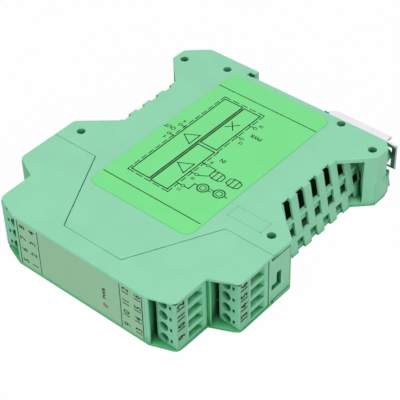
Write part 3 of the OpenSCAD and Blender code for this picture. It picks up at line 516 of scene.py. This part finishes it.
# %% Chamber lips
GAP, PLAY, LIP_T, SKIN, SUNK = 2.3, 0.2, 0.6, 1.0, 0.05
LIP_W = {-1: 0.9, 1: 2.1}
bpy.ops.object.select_all(action="DESELECT")
bpy.ops.mesh.primitive_cube_add(size=1)
lips = bpy.context.object
lips.name = "chamber_lips"
bpy.ops.object.mode_set(mode="EDIT")
bpy.ops.mesh.delete(type="VERT")
for corner in corners:
    side = -1 if corner.endswith("left") else 1
    low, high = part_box("plug_body_" + corner)
    inner = (low[X] if side > 0 else -high[X]) / MM
    if corner.startswith("front"):
        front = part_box("front_housing")[0][Y] / MM
    else:
        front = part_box(corner.replace("rear", "plug_body_front"))[1][Y] / MM + PLAY
    across = side * (inner - GAP + LIP_W[side] / 2)
    centre = Vector((across, front + LIP_T / 2 + SUNK, MIDDLE)) * MM
    length = Vector((LIP_W[side] + SUNK, LIP_T, 2 * (MIDDLE - SKIN + SUNK))) * MM
    bpy.ops.mesh.select_all(action="DESELECT")
    bpy.ops.mesh.primitive_cube_add(size=1, location=centre)
    bpy.ops.transform.resize(value=length, center_override=centre)
bpy.ops.object.mode_set(mode="OBJECT")
lips.data.materials.append(front_plastic)
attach(lips, "housing")
print(lips.name, len(lips.data.polygons), "faces")

# %% [markdown]
# ## Spring behind the catch
# The spring stands between the catch and a wall of the housing. When the catch slides out, the
# spring gets shorter by as much. A spring that is fixed to one body would cut into the catch; here
# a copy of its solid keeps its shape and is fixed to the housing.

# %% Spring
low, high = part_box("catch_spring")
spring = merged_copy("pressed_spring", "catch_spring")
bpy.ops.object.mode_set(mode="OBJECT")
bpy.ops.object.shade_smooth_by_angle(angle=SMOOTH)
spring.data.materials.clear()
spring.data.materials.append(spring_steel)
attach(spring, "housing")
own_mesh(spring)
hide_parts("catch_spring")

# %% [markdown]
# ## The other solids
# The catch, the label, the plates and all pieces inside have their right shape already, so they
# stay as they are and only get a finish.

# %% Finishes of the other solids
plain = {"front_plate": plate_print, "side_label": label_film, "foot_catch": zinc_steel,
         "main_board": board_mask, "transformer_core": ferrite,
         "transformer_winding": winding_tape, "filter_capacitors": can_sleeve,
         "amplifier_chips": chip_resin, "power_lamp": lamp_lens}
for corner in corners:
    plain["clamp_screws_" + corner] = screw_steel
    plain["wire_clamps_" + corner] = tinned_brass
    plain["contact_sockets_" + corner] = tinned_brass
    plain["marker_strip_" + corner] = marker_card
    plain["header_base_" + corner] = header_plastic
    plain["header_pins_" + corner] = tinned_brass
for node, material in plain.items():
    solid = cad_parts[node]
    solid.data.materials.clear()
    solid.data.materials.append(material)
print(len(plain), "solids keep their shape")

# %% [markdown]
# ## Printed marks
# The front plate, the marker strips and the label carry thin black print: plain terminal
# numbers, dividing lines and a circuit sketch. Print is a film of ink a few hundredths of
# a millimetre thick. It could be a texture, but a picture needs a file, so each mark is drawn
# as a thin mesh. A sheet is drawn flat on the table in millimetres, made thin with Solidify,
# and then laid on its surface in one move.

# %% Sheet helper
RING_CORNERS = 20

def flat_sheet(name, strokes, rings):
    """Strokes (x0, y0, x1, y1, width) and rings (x, y, radius, width) as one flat mesh, in mm."""
    bpy.ops.object.select_all(action="DESELECT")
    bpy.ops.mesh.primitive_plane_add(size=1)
    sheet = bpy.context.object
    sheet.name = name
    bpy.ops.object.mode_set(mode="EDIT")
    bpy.ops.mesh.delete(type="VERT")
    for x0, y0, x1, y1, width in strokes:
        centre = ((x0 + x1) / 2, (y0 + y1) / 2, 0)
        long_side = math.hypot(x1 - x0, y1 - y0) + width
        slope = math.atan2(y1 - y0, x1 - x0)
        bpy.ops.mesh.select_all(action="DESELECT")
        bpy.ops.mesh.primitive_plane_add(size=1, location=centre)
        bpy.ops.transform.resize(value=(long_side, width, 1), center_override=centre)
        bpy.ops.transform.rotate(value=-slope, orient_axis="Z", center_override=centre)
    for x, y, radius, width in rings:
        bpy.ops.mesh.select_all(action="DESELECT")
        bpy.ops.mesh.primitive_circle_add(vertices=RING_CORNERS, radius=radius, fill_type="NGON",
                                          location=(x, y, 0))
        bpy.ops.mesh.inset(thickness=width)
        bpy.ops.mesh.delete(type="FACE")
    bpy.ops.object.mode_set(mode="OBJECT")
    return sheet

# %% Word helper
def add_words(sheet, words, bold):
    """Adds words (text, size, x, y, squeeze) to a flat sheet, with each line wider by bold."""
    for text, size, x, y, squeeze in words:
        bpy.ops.object.select_all(action="DESELECT")
        bpy.ops.object.text_add()
        word = bpy.context.object
        word.data.body = text
        word.data.size = size
        word.data.offset = bold
        word.data.resolution_u = 2
        word.data.align_x = "CENTER"
        word.data.align_y = "CENTER"
        bpy.ops.object.convert(target="MESH")
        word.scale = (squeeze, 1, 1)
        word.location = (x, y, 0)
        bpy.ops.object.transform_apply(location=True, rotation=True, scale=True)
        sheet.select_set(True)
        bpy.context.view_layer.objects.active = sheet
        bpy.ops.object.join()

# %% Ink helper
INK = 0.03
mark_ink = finish("mark_ink", (0.012, 0.035, 0.02), 0.15, 0.6, 1, 0.1, 0.002, specular=0.1)
pale_ink = finish("pale_ink", (0.12, 0.33, 0.13), 0.12, 0.6, 1, 0.1, 0.002, specular=0.1)
print(mark_ink.name, "and", pale_ink.name, INK, "mm thick")

def lay(sheet, origin, along, up, ink, body):
    """Makes a flat sheet thin and lays it on a surface that faces along x up."""
    bpy.ops.object.select_all(action="DESELECT")
    sheet.select_set(True)
    bpy.context.view_layer.objects.active = sheet
    film = sheet.modifiers.new("film", "SOLIDIFY")
    film.thickness = INK
    film.offset = 1
    bpy.ops.object.modifier_apply(modifier="film")
    along, up = Vector(along), Vector(up)
    turn_to = Matrix((along, up, along.cross(up))).transposed().to_4x4()
    sheet.matrix_world = Matrix.Translation(origin) @ turn_to @ Matrix.Scale(MM, 4)
    bpy.ops.object.transform_apply(location=True, rotation=True, scale=True)
    sheet.data.materials.clear()
    sheet.data.materials.append(ink)
    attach(sheet, body)
    print(sheet.name, len(sheet.data.polygons), "faces")

# %% [markdown]
# ## Numbers on the front plate
# The plate numbers the sixteen terminals, eight beside each pair of plugs, in two columns. The
# plate is read with the housing standing on its rail, so here the numbers run up the plate.
# Two lines divide the columns from the middle, two more close them at the ends of the plate, and
# a short word names the lamp.

# %% Front plate print
PLATE_TEXT, PLATE_SQUEEZE, PLATE_BOLD, PLATE_LIFT = 3.9, 0.8, 0.05, 0.3
LAMP_TEXT, LAMP_SQUEEZE, LAMP_LIFT = 2.0, 1.15, 0.6
DIVIDER, DIVIDER_PLACES = 0.32, (18.6, -18.6, 28.1, -28.1)
columns = ((1, 21.2), (5, 25.7), (9, -21.2), (13, -26.3))
low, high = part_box("front_plate")
middle = Vector(((low[X] + high[X]) / 2, low[Y], (low[Z] + high[Z]) / 2))
half_height = (high[Z] - low[Z]) / 2 / MM
numbers = [(str(first + k), PLATE_TEXT, steps[k] + PLATE_LIFT, across, PLATE_SQUEEZE)
           for first, across in columns for k in range(4)]
lamp_low, lamp_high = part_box("power_lamp")
lamp_across = -(lamp_low[X] + lamp_high[X]) / 2 / MM
numbers.append(("PWR", LAMP_TEXT, LAMP_LIFT, lamp_across, LAMP_SQUEEZE))
dividers = [(-half_height, across, half_height, across, DIVIDER) for across in DIVIDER_PLACES]
plate_marks = flat_sheet("front_plate_marks", dividers, [])
add_words(plate_marks, numbers, PLATE_BOLD)
lay(plate_marks, middle, (0, 0, 1), (-1, 0, 0), mark_ink, "housing")

# %% [markdown]
# ## Numbers on the marker strips
# Each plug has a card with the numbers of its four terminals, readable from the same side as
# the plate. The cards of the left plugs face the other way, so their up turns round.

# %% Marker strip print
CARD_PITCH, CARD_SHIFT = 4.5, 1.35
CARD_TEXT, CARD_SQUEEZE, CARD_BOLD = 4.4, 0.76, 0.17
firsts = {"front_left": 1, "rear_left": 5, "front_right": 9, "rear_right": 13}
card_places = [CARD_SHIFT + CARD_PITCH * (k - 1.5) for k in range(4)]
for corner, first in firsts.items():
    low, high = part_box("marker_strip_" + corner)
    outward = -1 if corner.endswith("left") else 1
    outer = (low if outward < 0 else high)[X]
    face = Vector((outer, (low[Y] + high[Y]) / 2, (low[Z] + high[Z]) / 2))
    card = flat_sheet("marker_marks_" + corner, [], [])
    words = [(str(first + k), CARD_TEXT, place, 0, CARD_SQUEEZE) for k, place in enumerate(card_places)]
    add_words(card, words, CARD_BOLD)
    lay(card, face, (0, 0, 1), (0, -outward, 0), mark_ink, "plug_" + corner)

# %% [markdown]
# ## Circuit sketch on the label
# The label shows what the device does: a signal goes into one section, crosses the barrier and
# leaves from the other, and a third section feeds both. It is drawn here as a plain textbook
# sketch with boxes, two amplifier triangles, a barrier and small circles at the terminals. The
# lines are listed in x and y of the plate, where they are easy to compare with the picture, and
# turned round at the end, because the label is read from the other side.

# %% Line helpers
def path_strokes(points, width, closed=True):
    """The strokes along a row of points."""
    ends = points[1:] + points[:1] if closed else points[1:]
    return [(*a, *b, width) for a, b in zip(points, ends)]

def box_strokes(x0, y0, x1, y1, width):
    """The four sides of a box."""
    return path_strokes([(x0, y0), (x1, y0), (x1, y1), (x0, y1)], width)

def dashes(x0, y0, x1, y1, width, dash=2.4, gap=1.3):
    """A dashed line."""
    whole = math.hypot(x1 - x0, y1 - y0)
    count = max(1, round((whole + gap) / (dash + gap)))
    pitch = (whole + gap) / count
    made = []
    for k in range(count):
        a, b = k * pitch / whole, (k * pitch + pitch - gap) / whole
        made.append((x0 + (x1 - x0) * a, y0 + (y1 - y0) * a,
                     x0 + (x1 - x0) * b, y0 + (y1 - y0) * b, width))
    return made

# %% Lines of the sketch
THIN, LINE = 0.36, 0.45
drawn = [(-22, -21.3, 21.7, -21.3, THIN), (-22.3, 41.4, 22.1, 41.4, THIN)]
for section in ((-15.1, -14.6, -6.9, 36), (-5.9, 11.3, 1.4, 35.8), (-5.9, -15, 1.7, 9.9)):
    drawn += box_strokes(*section, LINE)
for frame_side in ((-16, -15.6, -16, 37), (-16, 37, 2.4, 37), (2.4, 37, 2.4, 10.6),
                   (2.7, 10.6, 2.7, -16), (2.7, -16, -16, -15.6)):
    drawn += dashes(*frame_side, THIN)
for amplifier in ([(-13.4, 11), (-8.4, 14), (-8.4, 8)], [(-4.8, -2.3), (0.4, 0.7), (0.4, -5.3)]):
    drawn += path_strokes(amplifier, THIN)
for crossing in ([(-4.6, 23.4), (-1.2, 27.2)], [(-4.6, 27.2), (-1.2, 23.4)]):
    drawn += path_strokes(crossing, THIN, False)
print(len(drawn), "strokes of the sections")

# %% Terminals and sensors of the sketch
STUB, STUB_END, STUB_RING = 2.2, 2.9, (0.75, 0.25)
OUTER_RING, INNER_RING = (2.3, 0.45), (1.3, 0.3)
stubs = ((-15.1, 14.3, -1), (-15.1, 8.1, -1), (1.4, 29.3, 1), (1.4, 21.7, 1),
         (1.7, 3, 1), (1.7, -3.1, 1), (1.7, -10.4, 1))
barrel = ((-2.6, -1.2), (-1.2, -2), (1.2, -2), (2.6, -1.2), (2.6, 1.2), (1.2, 2), (-1.2, 2), (-2.6, 1.2))
ringed = []
for x, y, side in stubs:
    drawn.append((x, y, x + STUB * side, y, THIN))
    ringed.append((x + STUB_END * side, y, *STUB_RING))
for x, y in ((10.8, -7.1), (17, -6)):
    ringed += [(x, y, *OUTER_RING), (x, y, *INNER_RING)]
    drawn += [(x - 3.6, y, x - 2.3, y, THIN), (x + 2.3, y, x + 3.3, y, THIN)]
for x, y in ((10.8, 0.6), (17.6, 1.2)):
    drawn += path_strokes([(x + a, y + b) for a, b in barrel], THIN)
    drawn += [(x - 1, y - 2, x - 1, y + 2, THIN), (x + 1, y - 2, x + 1, y + 2, THIN)]
for wire in ([(5.4, 3), (8.2, 3), (8.2, 0.6)], [(5.4, -3.1), (8.2, -1.2)],
             [(5.4, -10.4), (7.2, -10.4), (7.2, -7.1)]):
    drawn += path_strokes(wire, THIN, False)
print(len(drawn), "strokes and", len(ringed), "rings")

# %% Words of the sketch, and the sketch on the label
CAPTION, FIGURE, SKETCH_BOLD = 2.5, 1.9, 0.04
BARRIER_LINE = (6.4, 14, 6.4, -35, 0.9)
captions = [("OUT", CAPTION, -20, 11.2, 0.9), ("PWR", CAPTION, 7.9, 25.5, 0.9),
            ("IN", CAPTION, 7, 8.2, 0.9), ("6", FIGURE, -18, 16.6, 1), ("5", FIGURE, -18, 5.8, 1),
            ("14", FIGURE, 5.6, 31.4, 0.9), ("13", FIGURE, 5.6, 19.6, 0.9),
            ("9", FIGURE, 4.6, 5.2, 1), ("10", FIGURE, 5, -5.4, 0.9), ("11", FIGURE, 4.8, -12.6, 0.9)]
turned = [(-x0, -y0, -x1, -y1, width) for x0, y0, x1, y1, width in drawn]
sketch = flat_sheet("label_sketch", turned, [(-x, -y, radius, width) for x, y, radius, width in ringed])
add_words(sketch, [(text, size, -x, -y, squeeze) for text, size, x, y, squeeze in captions], SKETCH_BOLD)
label_face = Vector((0, 0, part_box("side_label")[1][Z]))
lay(sketch, label_face, (-1, 0, 0), (0, -1, 0), mark_ink, "housing")
barrier = flat_sheet("label_barrier", [BARRIER_LINE], [])
lay(barrier, label_face, (-1, 0, 0), (0, -1, 0), pale_ink, "housing")

# %% [markdown]
# ## Painted groove shade beside the label
# A shallow rectangle is engraved in the plate beside the label. Its groove is so faint that a thin line
# of painted shade, a slightly darker green, stands for it.

# %% Painted groove shade
OUTLINE_BOX, HAIR = (25.7, -12.0, 39.6, -6.6), 0.3
groove_shade_line = finish("groove_shade_line", (0.23, 0.57, 0.37), 0.03, 0.5, 4, 0.2, 0.002, specular=0.1)
outline = flat_sheet("plate_outline", box_strokes(*OUTLINE_BOX, HAIR), [])
lay(outline, Vector((0, 0, top_side)), (1, 0, 0), (0, 1, 0), groove_shade_line, "housing")
